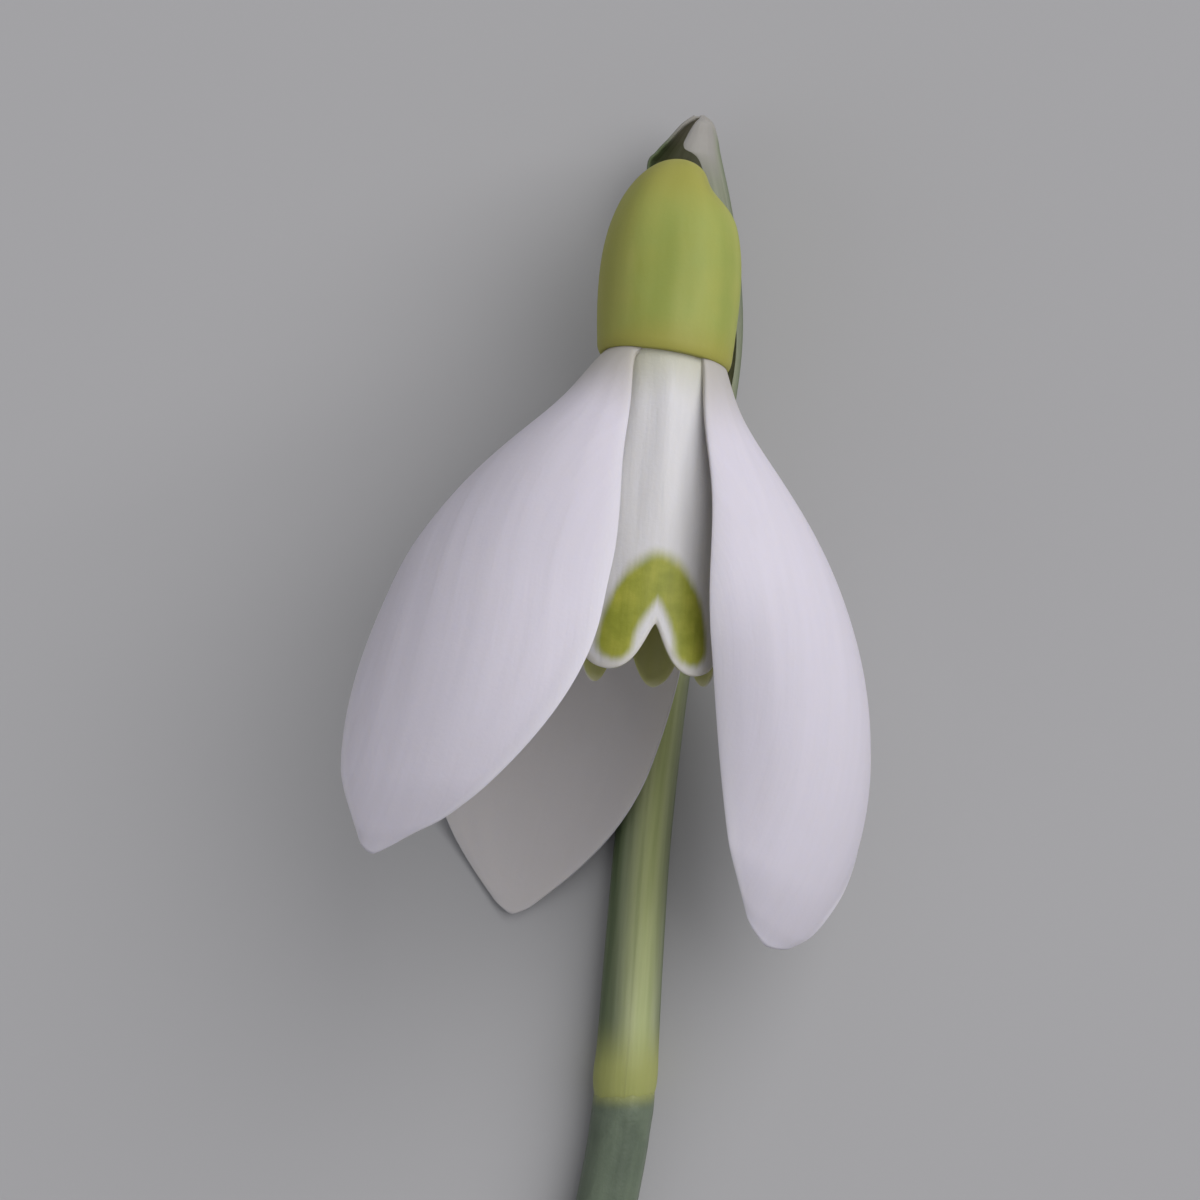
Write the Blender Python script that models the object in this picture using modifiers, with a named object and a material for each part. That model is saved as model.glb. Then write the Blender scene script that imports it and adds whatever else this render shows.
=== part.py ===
"""Snowdrop flower (Galanthus nivalis), picked and lying on its back on a flat surface.

A scape, a sheath (spathe), a pedicel, an ovary, three outer tepals, three notched inner
tepals, six stamens and a style, each one closed solid.  +X is the flower's right hand,
+Y runs from the cut end of the scape to the tip of the spathe, and +Z is up from the
surface.  Shapes are worked out in millimetres; a root empty scales them to metres and
stands the whole flower's box on the origin.
"""
import math

import bmesh
import bpy
from mathutils import Vector

MM = 0.001
BOX_CENTRE = Vector((-0.2, -22.1, 0.0))  # middle of the flower's box, in its layout

# The head hangs along its own axis, turned from upright to lying.
HEAD_BASE = Vector((2.13, 7.90, 6.60))   # where the tepals meet the ovary
HEAD_LEAN = 4.5                          # the axis leans left on its way down, degrees
HEAD_PITCH = 8.0                         # the mouth turns up from the surface, degrees

OVARY_HEIGHT = 6.9
OVARY_RADIUS = 2.33
OVARY_WIDEST = 2.5                       # height of the widest ring
OVARY_FOOT_NARROWING = 0.1               # share of the radius lost down to the foot
OVARY_SHOULDER_POWER = 2.2               # how blunt the top is
OVARY_GAP = 0.3                          # from the tepals' plane to the ovary's foot
OVARY_RINGS = 11

OUTER_THICKNESS = 0.34
INNER_THICKNESS = 0.24
OUTER_GRID = (10, 20)                    # facets across and along an outer tepal
INNER_GRID = (14, 10)
TIP_SHARE = 0.08                         # width left at an outer tepal's tip
TIP_BOW_START = 0.55                     # where tip_side starts to act
DIP_REACH = 0.12                         # share of the length over which the dip fades
MIDRIB_STEPS = 60                        # straight steps a midrib is summed over
CLAW_CURVE = 2.2                         # cross curve of an outer claw
INNER_CLAW_CURVE = 1.3

# azimuth: turn about the hanging axis from +X towards the viewer above.
# splay: angle off the axis at claw and tip, blended by t ** power, less dip at the claw.
# half: half of the widest width, reached at t = widest.  side, tip_side: sideways bow.
OUTER_TEPALS = {
    "outer_tepal_left": dict(
        azimuth=146.3, ring=1.81, length=19.7, half=5.06, claw=0.20, rise=1.17,
        widest=0.45, point=0.74, splay=(86.0, -5.0), power=0.575, dip=37.5, curve=6.5,
        twist=-29.7, side=-6.85, tip_side=6.2),
    "outer_tepal_right": dict(
        azimuth=15.2, ring=1.71, length=20.4, half=5.0, claw=0.22, rise=1.38,
        widest=0.49, point=0.61, splay=(60.5, -36.8), power=0.99, dip=39.5, curve=4.3,
        twist=34.4, side=-3.44, tip_side=0.67),
    "outer_tepal_back": dict(
        azimuth=260.9, ring=1.76, length=19.8, half=4.03, claw=0.26, rise=1.57,
        widest=0.68, point=1.08, splay=(30.1, 9.1), power=1.73, dip=0.0, curve=5.6,
        twist=24.8, side=-3.48, tip_side=1.2),
}
INNER_LENGTH = 10.7
INNER_RING = 1.22
INNER_CLAW = 0.42
INNER_WIDEST = 0.85
INNER_RISE = 1.3                         # how late an inner tepal broadens
INNER_SPLAY = (13.0, -1.0)
INNER_CURVE = 3.0
NOTCH_DEPTH = 0.15                       # share of the length
NOTCH_WIDTH = 0.24                       # share of the half width
LOBE_CORNER = 0.45                       # where a lobe starts to round off
LOBE_ROUNDING = 0.17
INNER_TEPALS = {
    "inner_tepal_front": dict(azimuth=82.0, half=2.6),
    "inner_tepal_back_left": dict(azimuth=202.0, half=2.2),
    "inner_tepal_back_right": dict(azimuth=308.0, half=2.2),
}

STAMEN_COUNT = 6
STAMEN_START = 87.0                      # azimuth of the first stamen, degrees
STAMEN_TOP = -0.3                        # height in the hanging frame
STAMEN_RING = 0.62                       # distance from the axis
STAMEN_TILT = 3.5                        # lean out from the axis, degrees
FILAMENT_RADIUS = 0.11
FILAMENT_LENGTH = 1.3
ANTHER_RADIUS = 0.27
ANTHER_LENGTH = 5.2
STYLE_RADIUS = 0.16
STYLE_LENGTH = 7.4

SHEATH_THICKNESS = 0.16
# Spine of the spathe: x, y, radius, height of its underside, half opening in degrees.
SHEATH_SPINE = [
    (0.93, -16.15, 1.08, 0.02, 8.0),
    (1.16, -12.0, 0.96, 0.02, 14.0),
    (1.48, -8.0, 0.90, 0.02, 20.0),
    (1.98, -3.0, 0.96, 0.02, 30.0),
    (2.80, 2.5, 1.08, 0.02, 48.0),
    (3.60, 8.0, 1.22, 0.02, 75.0),
    (3.55, 11.2, 1.28, 0.05, 92.0),
    (3.00, 13.5, 1.28, 0.25, 95.0),
    (2.90, 15.0, 1.05, 1.05, 96.0),
    (3.25, 16.3, 0.35, 2.50, 98.0),
]
# Pedicel: x, y, z, radius.
PEDICEL_PATH = [
    (0.93, -16.15, 1.15, 0.42), (1.16, -12.0, 1.08, 0.42), (1.48, -8.0, 1.05, 0.40),
    (1.98, -3.0, 1.08, 0.40), (2.80, 2.5, 1.10, 0.39), (3.55, 8.0, 1.12, 0.38),
    (3.45, 11.2, 1.15, 0.38), (3.12, 13.2, 1.55, 0.38), (2.92, 14.35, 2.55, 0.38),
    (2.82, 14.62, 3.45, 0.38), (2.72, 14.48, 4.10, 0.38), (2.62, 14.11, 4.54, 0.38),
]
# Scape: x, y, radius; it rests on the surface all the way.
SCAPE_PATH = [
    (-8.3, -60.5, 1.12), (-5.6, -50.0, 1.10), (-3.1, -38.5, 1.08), (-1.2, -28.0, 1.06),
    (0.36, -20.3, 1.05), (0.72, -18.2, 1.06), (0.88, -17.0, 1.15), (0.93, -16.21, 1.12),
]


def smooth(x):
    """Smoothstep, held at 0 and 1 outside its range."""
    x = min(max(x, 0.0), 1.0)
    return x * x * (3 - 2 * x)


def catmull(points, per_span):
    """Tuples along a smooth curve through all the given tuples."""
    ends = [points[0]] + list(points) + [points[-1]]
    found = []
    for i in range(1, len(ends) - 2):
        for k in range(per_span):
            u = k / per_span
            found.append(tuple(
                0.5 * (2 * b + (c - a) * u + (2 * a - 5 * b + 4 * c - d) * u ** 2
                       + (3 * b - a - 3 * c + d) * u ** 3)
                for a, b, c, d in zip(*ends[i - 1:i + 3])))
    found.append(tuple(points[-1]))
    return found


def material(name, color, roughness):
    made = bpy.data.materials.new(name)
    made.use_nodes = True
    shader = made.node_tree.nodes["Principled BSDF"]
    shader.inputs["Base Color"].default_value = (*color, 1.0)
    shader.inputs["Roughness"].default_value = roughness
    shader.inputs["Metallic"].default_value = 0.0
    return made


def add_empty(name, parent, location=(0, 0, 0), rotation=(0, 0, 0)):
    made = bpy.data.objects.new(name, None)
    made.parent = parent
    made.location = location
    made.rotation_euler = [math.radians(a) for a in rotation]
    bpy.context.scene.collection.objects.link(made)
    return made


def add_part(name, data, parent, look, rotation=(0, 0, 0)):
    """A named object in the flower's collection."""
    data.materials.append(look)
    made = bpy.data.objects.new(name, data)
    made.parent = parent
    made.rotation_euler = [math.radians(a) for a in rotation]
    FLOWER.objects.link(made)
    return made


def grid_mesh(name, columns, rows, place):
    """An open sheet whose point (s, t) sits where place(s, t) says."""
    bm = bmesh.new()
    bmesh.ops.create_grid(bm, x_segments=columns, y_segments=rows, size=1.0)
    for vert in bm.verts:
        vert.co = place(vert.co.x, (vert.co.y + 1) / 2)
    mesh = bpy.data.meshes.new(name)
    bm.to_mesh(mesh)
    bm.free()
    mesh.shade_smooth()
    return mesh


def solidify(part, thickness):
    """The sheet keeps its middle and gains the thickness, half on each side."""
    shell = part.modifiers.new("thickness", "SOLIDIFY")
    shell.thickness = thickness
    shell.offset = 0.0
    shell.use_even_offset = True
    shell.use_quality_normals = True


def turned(name, profile, steps, parent, look, rotation=(0, 0, 0)):
    """A solid of revolution from (radius, height) points, top to bottom."""
    bm = bmesh.new()
    verts = [bm.verts.new((radius, 0, height)) for radius, height in profile]
    for above, below in zip(verts, verts[1:]):
        bm.edges.new((above, below))
    mesh = bpy.data.meshes.new(name)
    bm.to_mesh(mesh)
    bm.free()
    part = add_part(name, mesh, parent, look, rotation)
    screw = part.modifiers.new("turn", "SCREW")
    screw.steps = screw.render_steps = steps
    screw.use_merge_vertices = True
    screw.merge_threshold = 0.00001
    screw.use_smooth_shade = True
    return part


def tube(name, points, sides_level, parent, look):
    """A capped tube through (x, y, z, radius) points."""
    curve = bpy.data.curves.new(name, "CURVE")
    curve.dimensions = "3D"
    curve.bevel_depth = 1.0
    curve.bevel_resolution = sides_level
    curve.use_fill_caps = True
    spline = curve.splines.new("POLY")
    spline.points.add(len(points) - 1)
    for knot, (x, y, z, radius) in zip(spline.points, points):
        knot.co = (x, y, z, 1.0)
        knot.radius = radius
    return add_part(name, curve, parent, look)


def midrib(length, ring, splay, power, t, dip=0.0):
    """Radius, height and slope of a tepal's midrib at t, summed from its claw."""
    def slope(u):
        return math.radians(splay[0] + (splay[1] - splay[0]) * u ** power
                            - dip * math.exp(-(u / DIP_REACH) ** 2))

    radius, height = ring, 0.0
    step = t / MIDRIB_STEPS
    for k in range(MIDRIB_STEPS):
        angle = slope((k + 0.5) * step)
        radius += math.sin(angle) * length * step
        height -= math.cos(angle) * length * step
    return radius, height, slope(t)


def tepal_point(rib, across, curve, twist, azimuth, sideways):
    """A point of a tepal in the hanging frame: across is the signed arc off the midrib."""
    radius, height, slope = rib
    turn = across / curve
    lateral = curve * math.sin(turn)
    inward = curve * (1 - math.cos(turn))
    lateral, inward = (lateral * math.cos(twist) - inward * math.sin(twist),
                       lateral * math.sin(twist) + inward * math.cos(twist))
    outward = radius - inward * math.cos(slope)
    height -= inward * math.sin(slope)
    lateral += sideways
    return Vector((outward * math.cos(azimuth) - lateral * math.sin(azimuth),
                   -outward * math.sin(azimuth) - lateral * math.cos(azimuth), height))


def outer_width(spec, t):
    """Half width of an outer tepal: a narrow claw, a broad blade, a rounded tip."""
    if t < spec["widest"]:
        rise = math.sin(math.pi / 2 * t / spec["widest"]) ** spec["rise"]
        return spec["half"] * (spec["claw"] + (1 - spec["claw"]) * rise)
    x = (t - spec["widest"]) / (1 - spec["widest"])
    return spec["half"] * (TIP_SHARE + (1 - TIP_SHARE) * max(0.0, 1 - x * x) ** spec["point"])


def outer_point(spec, s, t):
    rib = midrib(spec["length"], spec["ring"], spec["splay"], spec["power"], t, spec["dip"])
    curve = CLAW_CURVE + (spec["curve"] - CLAW_CURVE) * smooth(2 * t)
    near_tip = max(0.0, (t - TIP_BOW_START) / (1 - TIP_BOW_START))
    bow = spec["side"] * t * t + spec["tip_side"] * near_tip ** 2
    return tepal_point(rib, outer_width(spec, t) * s, curve,
                       math.radians(spec["twist"]) * smooth(t), math.radians(spec["azimuth"]), bow)


def inner_point(spec, s, t):
    """An inner tepal ends in two round lobes beside a notch."""
    notch = NOTCH_DEPTH * math.exp(-(s / NOTCH_WIDTH) ** 2)
    corner = LOBE_ROUNDING * (max(0.0, abs(s) - LOBE_CORNER) / (1 - LOBE_CORNER)) ** 2
    along = t * (1 - notch - corner)
    rib = midrib(INNER_LENGTH, INNER_RING, INNER_SPLAY, 1.0, along)
    rise = math.sin(math.pi / 2 * min(1.0, along / INNER_WIDEST)) ** INNER_RISE
    half = spec["half"] * (INNER_CLAW + (1 - INNER_CLAW) * rise)
    curve = INNER_CLAW_CURVE + (INNER_CURVE - INNER_CLAW_CURVE) * smooth(2 * along)
    return tepal_point(rib, half * s, curve, 0.0, math.radians(spec["azimuth"]), 0.0)


def add_tepals(head):
    white = material("tepal white", (0.80, 0.79, 0.84), 0.55)
    marked = material("inner tepal white and green", (0.62, 0.66, 0.38), 0.55)
    for name, spec in OUTER_TEPALS.items():
        mesh = grid_mesh(name, *OUTER_GRID, lambda s, t, spec=spec: outer_point(spec, s, t))
        solidify(add_part(name, mesh, head, white), OUTER_THICKNESS)
    for name, spec in INNER_TEPALS.items():
        mesh = grid_mesh(name, *INNER_GRID, lambda s, t, spec=spec: inner_point(spec, s, t))
        solidify(add_part(name, mesh, head, marked), INNER_THICKNESS)


def ovary_profile():
    """Radius and height of the ovary from its blunt top down to its closed foot."""
    profile = []
    for k in range(OVARY_RINGS + 1):
        down = math.sin(math.pi / 2 * k / OVARY_RINGS) ** 2
        z = OVARY_HEIGHT + (OVARY_GAP - OVARY_HEIGHT) * down
        if z > OVARY_WIDEST:
            x = (z - OVARY_WIDEST) / (OVARY_HEIGHT - OVARY_WIDEST)
            share = max(0.0, 1 - x ** OVARY_SHOULDER_POWER) ** 0.5
        else:
            share = 1 - OVARY_FOOT_NARROWING * (1 - z / OVARY_WIDEST) ** 2
        profile.append((OVARY_RADIUS * share, z))
    return profile + [(0.0, OVARY_GAP)]


def add_ovary(head):
    green = material("ovary green", (0.33, 0.40, 0.10), 0.45)
    turned("ovary", ovary_profile(), 24, head, green)


def add_stamens(head):
    """Each stamen is a short filament with a long pointed anther; one style stands inside."""
    orange = material("anther orange", (0.72, 0.42, 0.08), 0.6)
    pale = material("style green", (0.50, 0.58, 0.25), 0.5)
    low = STAMEN_TOP - FILAMENT_LENGTH
    profile = [
        (0.0, STAMEN_TOP), (FILAMENT_RADIUS, STAMEN_TOP), (FILAMENT_RADIUS, low),
        (ANTHER_RADIUS, low - 0.25), (ANTHER_RADIUS, low - 0.45 * ANTHER_LENGTH),
        (0.6 * ANTHER_RADIUS, low - 0.75 * ANTHER_LENGTH), (0.0, low - ANTHER_LENGTH),
    ]
    for k in range(STAMEN_COUNT):
        azimuth = STAMEN_START + 360.0 * k / STAMEN_COUNT
        # The turned part leans out from the axis, away from its neighbours.
        foot = add_empty(f"stamen_foot_{k + 1}", head, rotation=(0, 0, -azimuth))
        part = turned(f"stamen_{k + 1}", profile, 8, foot, orange, rotation=(0, -STAMEN_TILT, 0))
        part.location.x = STAMEN_RING
    turned("style", [
        (0.0, STAMEN_TOP), (STYLE_RADIUS, STAMEN_TOP), (STYLE_RADIUS, STAMEN_TOP - STYLE_LENGTH + 1),
        (0.6 * STYLE_RADIUS, STAMEN_TOP - STYLE_LENGTH + 0.2), (0.0, STAMEN_TOP - STYLE_LENGTH),
    ], 8, head, pale)


def add_sheath(root):
    """A half-open tube round the pedicel that ends in a small hood."""
    green = material("spathe green", (0.24, 0.32, 0.14), 0.5)
    rings = catmull(SHEATH_SPINE, 3)

    def place(s, t):
        i = round(t * (len(rings) - 1))
        x, y, radius, under, opening = rings[i]
        before, after = rings[max(i - 1, 0)], rings[min(i + 1, len(rings) - 1)]
        forward = Vector((after[0] - before[0], after[1] - before[1],
                          (after[3] + after[2]) - (before[3] + before[2]))).normalized()
        side = forward.cross(Vector((0, 0, 1))).normalized()
        up = side.cross(forward)
        middle = Vector((x, y, under + radius + SHEATH_THICKNESS / 2))
        turn = s * math.radians(180 - opening)
        return middle + radius * (math.sin(turn) * side - math.cos(turn) * up)

    mesh = grid_mesh("spathe", 14, len(rings) - 1, place)
    solidify(add_part("spathe", mesh, root, green), SHEATH_THICKNESS)


def add_stalks(root):
    stalk = material("scape green", (0.25, 0.31, 0.20), 0.55)
    inner = material("pedicel green", (0.36, 0.44, 0.13), 0.5)
    on_surface = [(x, y, radius, radius) for x, y, radius in SCAPE_PATH]
    tube("scape", catmull(on_surface, 3), 4, root, stalk)
    tube("pedicel", catmull(PEDICEL_PATH, 4), 2, root, inner)


def build():
    root = add_empty("flower", None, location=-BOX_CENTRE * MM)
    root.scale = (MM, MM, MM)
    head = add_empty("head", root, HEAD_BASE, (-90 - HEAD_PITCH, 0, -HEAD_LEAN))
    add_tepals(head)
    add_ovary(head)
    add_stamens(head)
    add_sheath(root)
    add_stalks(root)


for old in list(bpy.data.objects):
    bpy.data.objects.remove(old, do_unlink=True)
FLOWER = bpy.data.collections.new("snowdrop_flower")
bpy.context.scene.collection.children.link(FLOWER)
build()
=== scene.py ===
"""Looks of the picked snowdrop, lying on its back and seen from straight above.

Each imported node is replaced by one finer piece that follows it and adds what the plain
solid lacks: ribs, veins, thin margins and the tips of the tepals.  Shapes are worked out in
the flower's own layout, in millimetres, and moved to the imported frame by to_frame().  The
head is shaped in a hanging frame first, its axis along z with the mouth down, and from_head()
lays it on its back.
"""
import math

import bpy
import numpy as np
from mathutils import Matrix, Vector


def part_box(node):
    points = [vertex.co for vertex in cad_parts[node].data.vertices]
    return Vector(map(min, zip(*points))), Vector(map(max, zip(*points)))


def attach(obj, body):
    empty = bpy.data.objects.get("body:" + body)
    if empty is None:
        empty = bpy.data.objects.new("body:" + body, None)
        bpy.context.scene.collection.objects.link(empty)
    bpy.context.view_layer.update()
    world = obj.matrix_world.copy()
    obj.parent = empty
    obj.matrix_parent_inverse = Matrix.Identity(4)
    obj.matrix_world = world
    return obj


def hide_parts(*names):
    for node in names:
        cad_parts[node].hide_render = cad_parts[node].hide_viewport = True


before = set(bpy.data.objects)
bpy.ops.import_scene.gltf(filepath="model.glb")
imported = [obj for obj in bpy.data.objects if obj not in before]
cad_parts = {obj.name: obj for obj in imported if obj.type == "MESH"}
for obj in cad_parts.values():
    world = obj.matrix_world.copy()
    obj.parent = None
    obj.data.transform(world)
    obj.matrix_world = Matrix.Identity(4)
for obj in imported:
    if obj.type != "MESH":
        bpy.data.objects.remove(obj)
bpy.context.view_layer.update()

MM = 0.001

# ---------------------------------------------------------------- the flower's layout
HEAD_BASE = (2.13, 7.90, 6.60)     # where the tepals meet the ovary
HEAD_LEAN = math.radians(4.5)      # the hanging axis leans left on its way down
HEAD_PITCH = math.radians(8.0)     # the mouth turns up from the surface

OVARY_HEIGHT = 6.9
OVARY_RADIUS = 2.33
OVARY_WIDEST = 2.5                 # height at which it is widest
OVARY_DOME = 2.2                   # power of the curve from there to its blunt top
OVARY_FOOT = 0.3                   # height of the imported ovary's lower face
OVARY_FOOT_NARROWING = 0.1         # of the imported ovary, from its widest to the foot
OVARY_SKIN_LOW = -0.02             # the visual ovary reaches down to the tepals
OVARY_SKIN_NARROWING = 0.05
OVARY_FOOT_TILT = 0.16             # the foot reaches lower on the right
OVARY_ROWS, OVARY_COLUMNS = 121, 96
OVARY_RIB_COUNT, OVARY_RIB_RELIEF = 6, 0.012
OVARY_UNEVENNESS = 0.02
OVARY_FLAT_AT, OVARY_FLAT_SPREAD, OVARY_FLAT_DEPTH = 6.0, 0.65, 0.27   # flatter upper right

# Outer tepals, in millimetres and degrees, with places as shares of the length:
#   azimuth, ring: where round the head and how far from its axis the claw starts
#   length, half: length along the midrib, and half the width
#   claw, rise, widest, point: the claw's share of the width, how fast the blade broadens,
#       where it is widest, and how fast it narrows to its tip
#   splay, power, dip: slope at the claw and at the tip, how early it changes, and how much
#       closer to the axis the claw sets out
#   curve, twist: radius of the bow across the blade, and the blade's turn at its tip
#   side, tip_side, nib_side: how far the blade, its last part and its very tip bow sideways
#   nib, dent, shoulder: narrowing of the tip, place and depth of a nick in one edge, and
#       broadening of the other edge above the middle
CLAW_CURVE = 2.2
TIP_SHARE = 0.08                   # width left at the tip, as a share
OUTER_TEPALS = {
    "left": dict(
        azimuth=146.3, ring=1.81, length=19.85, half=5.06, claw=0.20, rise=1.17,
        widest=0.45, point=0.74, splay=(86.0, -5.0), power=0.575, dip=37.5, curve=6.5,
        twist=-29.7, side=-6.85, tip_side=6.2, nib_side=0.4, nib=0.38,
        dent=(0.95, 0.01), shoulder=0.0),
    "right": dict(
        azimuth=15.2, ring=1.71, length=20.7, half=5.0, claw=0.24, rise=1.38,
        widest=0.49, point=0.61, splay=(60.5, -36.8), power=0.99, dip=39.5, curve=4.3,
        twist=34.4, side=-3.24, tip_side=0.98, nib_side=-0.33, nib=0.10,
        dent=(0.91, 0.10), shoulder=0.03),
    "back": dict(
        azimuth=260.9, ring=1.76, length=19.8, half=4.03, claw=0.26, rise=1.57,
        widest=0.68, point=1.08, splay=(30.1, 9.1), power=1.73, dip=0.0, curve=5.6,
        twist=24.8, side=-3.48, tip_side=1.2, nib_side=0.0, nib=0.0,
        dent=(0.95, 0.0), shoulder=0.0),
}
OUTER_THICKNESS = 0.34
TIP_NIB = 0.42                     # depth of the rounded nib at an outer tepal's tip
CLAW_ROOT = 0.4                    # length of each claw buried in the ovary's foot
DIP_REACH = 0.12                   # share of a tepal over which the dip in its splay fades
CLAW_SWELL = 0.14                  # brings the claws flush with the ovary
CLAW_SWELL_END = 0.3
NIB_ROWS_START = 0.9               # from here the rows bend back towards the margins
DENT_SPREAD = 0.04
SHOULDER_AT, SHOULDER_SPREAD = 0.3, 0.14
NARROWING_STARTS = (0.94, 0.87)    # of the tip, on the dented and on the other edge
TIP_BOW_START = 0.55
NIB_BOW_START = 0.88

OUTER_ROWS, OUTER_COLUMNS = 201, 97
MARGIN_START = 0.84                # the flared, paler margin, as a share of the half width
FLARES = (0.08, 0.02)              # how far the dented and the other margin flare outwards
VEIN_COUNT, VEIN_RELIEF = 30, 0.0015
FOLD_COUNT, FOLD_RELIEF = 4.5, 0.02
CREASE_AT, CREASE_SPREAD, CREASE_DEPTH = 0.55, 0.05, 0.035     # the right tepal's crease
GROOVE_AT, GROOVE_SPREAD, GROOVE_DEPTH = -0.62, 0.15, 0.22     # the back tepal's fold

INNER_LENGTH = 10.7
INNER_RING = 1.76
INNER_WIDEST = 0.85
INNER_SPLAY = (7.0, -1.0)
INNER_CURVE = 3.0
INNER_CLAW_CURVE = 1.8
INNER_THICKNESS = 0.24
INNER_ROOT = 0.3                   # length buried in the ovary's foot
INNER_RISE = 1.3                   # how slowly the claw broadens
INNER_ROWS, INNER_COLUMNS = 181, 121
INNER_RIB_COUNT, INNER_RIB_RELIEF = 10, 0.03
MARK_RELIEF = 0.04                 # the green mark stands out a little
NOTCH_DEPTH = 0.15
NOTCH_WIDTH = 0.21
NOTCH_POINT = 1.35
LOBE_CORNER = 0.45                 # the lobes' corners are rounded from here outwards
CORNER_CUT, CORNER_POWER = 0.06, 8     # the last, tight part of that rounding
# Inner tepals: azimuth, half the width, the claw's share of it, rounding of the corners.
INNER_TEPALS = {
    "front": dict(azimuth=82.0, half=2.6, claw=0.62, rounding=0.06),
    "back_left": dict(azimuth=206.0, half=2.05, claw=0.5, rounding=0.20),
    "back_right": dict(azimuth=308.0, half=2.2, claw=0.5, rounding=0.20),
}

STAMEN_COUNT = 6
STAMEN_START = 87.0                # azimuth of the first one, in degrees
STAMEN_TOP = -0.3
STAMEN_ROOT = 0.25                 # length buried in the ovary, of the style too
STAMEN_RING = 0.62
STAMEN_TILT = math.radians(3.5)
FILAMENT_RADIUS = 0.11
FILAMENT_LENGTH = 1.3
ANTHER_RADIUS = 0.27
ANTHER_LENGTH = 5.2
ANTHER_LOBES, ANTHER_GROOVE = 4, 0.14
STYLE_RADIUS = 0.16
STYLE_LENGTH = 7.4
ROD_TIP = 0.004                    # smallest radius of a ring at a point

SHEATH_THICKNESS = 0.16
SHEATH_COLUMNS = 97
# Spine of the spathe: x, y, radius, height of its underside, and how far its left and its
# right edge stand open from the top, in degrees.
# It grows out of the scape at the node, and stays closed until it is under the flower.
SHEATH_SPINE = [
    (0.83, -17.4, 0.90, 0.08, 0, 0), (0.86, -16.95, 1.035, -0.04, 0, 0),
    (0.90, -16.3, 1.07, -0.04, 0, 0), (0.98, -15.3, 1.03, -0.02, 0, 0),
    (1.20, -12.0, 0.98, 0.00, 0, 0), (1.52, -8.0, 0.94, 0.02, 0, 0),
    (2.06, -3.0, 0.98, 0.02, 0, 0), (2.80, 2.5, 1.08, 0.02, 25, 25),
    (3.60, 8.0, 1.22, 0.02, 70, 60), (3.55, 11.2, 1.30, 0.05, 90, 42),
    (3.14, 13.5, 1.38, 0.25, 90, 30), (2.92, 15.0, 1.26, 0.85, 90, 22),
    (3.02, 15.45, 1.06, 1.18, 90, -8), (3.20, 15.9, 0.80, 1.55, 90, -15),
    (3.34, 16.35, 0.50, 2.05, 90, -8), (3.39, 16.62, 0.14, 2.42, 90, 20),
]
FLAP_START = 14.5                  # above here the right edge may fold past the top
FLAP_TURN = 20                     # by this many degrees
SHEATH_KEEL_RELIEF = 0.03
SHEATH_RIB_COUNT, SHEATH_RIB_RELIEF = 24, 0.004
# Places round the sheath, in radians: the keels from its underside, the bright stripe
# where the pedicel lies from its top.  The keels' dark green is partly painted shade, the
# stripe partly painted light.
LEFT_KEEL_AT, LEFT_KEEL_SPREAD = -2.1, 0.70
RIGHT_KEEL_AT, RIGHT_KEEL_SPREAD = 1.7, 0.32
BRIGHT_AT, BRIGHT_SPREAD = 0.36, 0.62
# Places along the sheath: where the node's yellow ends, where it passes under the flower,
# where its right side turns papery, and where the hooded tip starts.
NODE_END, UNDER_FLOWER, PAPER_START, HOOD_START = -14.3, 2.0, 13.8, 15.6
SHEATH_SPAN = 33.0                 # its whole length, about
# Pedicel: x, y, z, radius.
PEDICEL_PATH = [
    (0.93, -16.15, 1.15, 0.42), (1.16, -12.0, 1.08, 0.42), (1.48, -8.0, 1.05, 0.40),
    (1.98, -3.0, 1.08, 0.40), (2.80, 2.5, 1.10, 0.39), (3.55, 8.0, 1.12, 0.38),
    (3.45, 11.2, 1.15, 0.38), (3.12, 13.2, 1.55, 0.38), (2.92, 14.35, 2.55, 0.38),
    (2.82, 14.62, 3.45, 0.38), (2.72, 14.48, 4.10, 0.40), (2.62, 14.11, 4.54, 0.50),
    (2.58, 13.85, 4.85, 0.60),
]
# Scape: x, y, radius; it rests on the surface from its cut end to the node.
SCAPE_HEIGHT = 1.05                # its axis stays this high where it narrows inside the node
SCAPE_PATH = [
    (-8.3, -60.5, 1.12), (-5.6, -50.0, 1.10), (-3.1, -38.5, 1.08), (-1.2, -28.0, 1.06),
    (0.36, -20.3, 1.05), (0.70, -18.3, 1.05), (0.80, -17.6, 1.06), (0.88, -16.9, 1.02),
    (0.93, -16.2, 0.92), (0.98, -15.4, 0.80),
]
SCAPE_SIDES, PEDICEL_SIDES = 48, 32
STALK_RIBS = ((14, 0.0, 0.010), (9, 1.0, 0.008))     # count, turn and height of fine ribs
CUT_RINGS = np.array([0.2, 0.4, 0.55, 0.66, 0.78, 0.9, 0.97])   # radii on a cut face
CUT_DOME = 0.03                    # the cut face stands this far out
VESSEL_RING, VESSEL_SPREAD, VESSEL_COUNT = 0.72, 0.1, 9
SHARP_EDGE = math.radians(50)

CAMERA_AT = (0.0, 0.0, 117.2)      # straight above the middle of the flower head
CAMERA_LENS = 100.0
CAMERA_SENSOR = 36.0
CAMERA_CLIP = (0.002, 20.0)

LIGHT_AIM = (1.0, 0.0, 4.0)        # in the layout; the lights' places are metres off it
KEY_AT, KEY_SIZE, KEY_POWER, KEY_COLOR = (0.77, 0.54, 1.03), 1.7, 18.2, (1.0, 0.985, 1.0)
FILL_AT, FILL_SIZE, FILL_POWER, FILL_COLOR = (-1.05, -0.30, 0.90), 1.0, 1.2, (0.95, 0.96, 1.0)
WORLD_COLOR, WORLD_STRENGTH = (0.95, 0.955, 1.0, 1), 0.26
FLOOR_REACH = 2.0                  # metres from the middle to each side
FLOOR_COLOR = (0.46, 0.46, 0.465, 1)

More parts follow.
